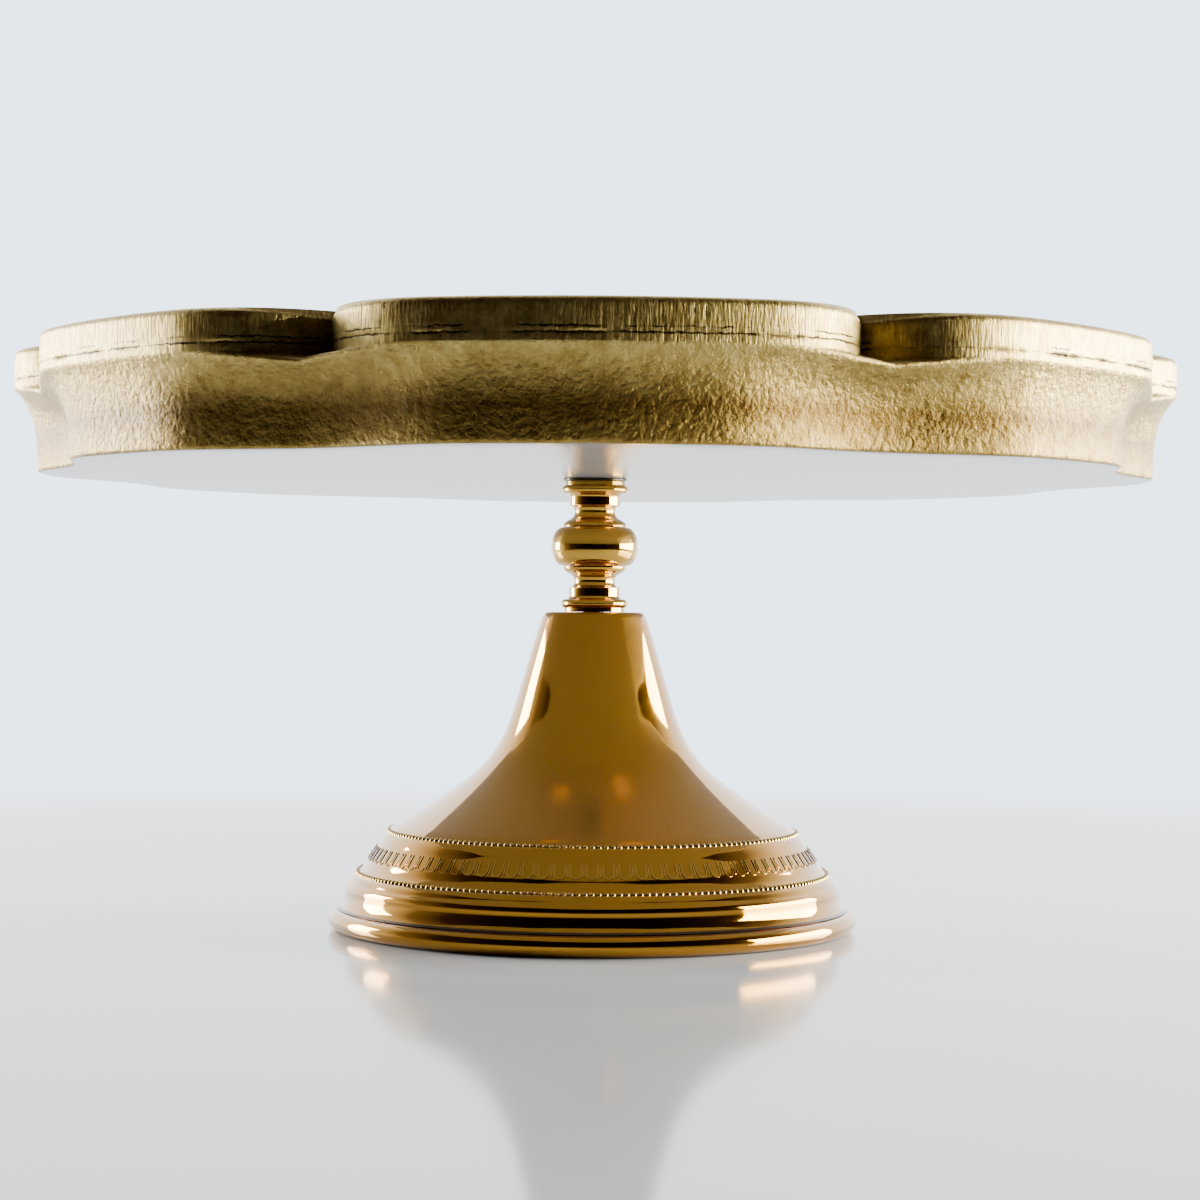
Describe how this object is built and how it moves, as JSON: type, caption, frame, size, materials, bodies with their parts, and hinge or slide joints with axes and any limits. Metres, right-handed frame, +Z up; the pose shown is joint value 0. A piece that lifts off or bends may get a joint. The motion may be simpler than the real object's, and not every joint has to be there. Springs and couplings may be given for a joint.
{
  "type": "cake stand",
  "caption": "Footed cake stand: scalloped gilded wooden plate with a coved edge, on a turned brass stem and a flared spun brass foot; the plate unscrews.",
  "frame": {"origin": "on the table, at the centre of the foot, which is the centre of the bounding box's bottom face", "axes": "+Z up along the stem's axis; -Y towards the front lobe, +X to the right"},
  "size_m": [0.406, 0.406, 0.2],
  "materials": {
    "board_gold": "metallic gold paint over rough-sawn wood edge",
    "cove_gold": "satin metallic gold paint, pebbled, with a white painted underside",
    "stem_brass": "polished and lacquered",
    "foot_brass": "polished spun brass with beaded and stamped borders",
    "washer_dark": "darkened",
    "zinc_steel": "zinc plated"
  },
  "bodies": {
    "stem": {"upper_neck": "stem_brass", "knob": "stem_brass", "lower_neck": "stem_brass", "foot_shell": "foot_brass", "foot_stiffener": "zinc_steel", "lock_washer": "zinc_steel", "foot_nut": "zinc_steel", "tie_rod": "zinc_steel"},
    "washer": {"plate_washer": "washer_dark"},
    "plate": {"top_board": "board_gold", "cove_board": "cove_gold", "tee_nut": "zinc_steel"}
  },
  "joints": [
    {"name": "plate_turn", "type": "hinge", "parent": "stem", "child": "washer", "pos_m": [0, 0, 0.158], "axis": [0, 0, 1], "range_deg": [0, 2160]},
    {"name": "plate_lift", "type": "slide", "parent": "washer", "child": "plate", "axis": [0, 0, 1], "range_m": [0, 0.0076]}
  ],
  "couplings": [
    {"joint": "plate_lift", "follows": "plate_turn", "m_per_rad": 0.00019894}
  ]
}
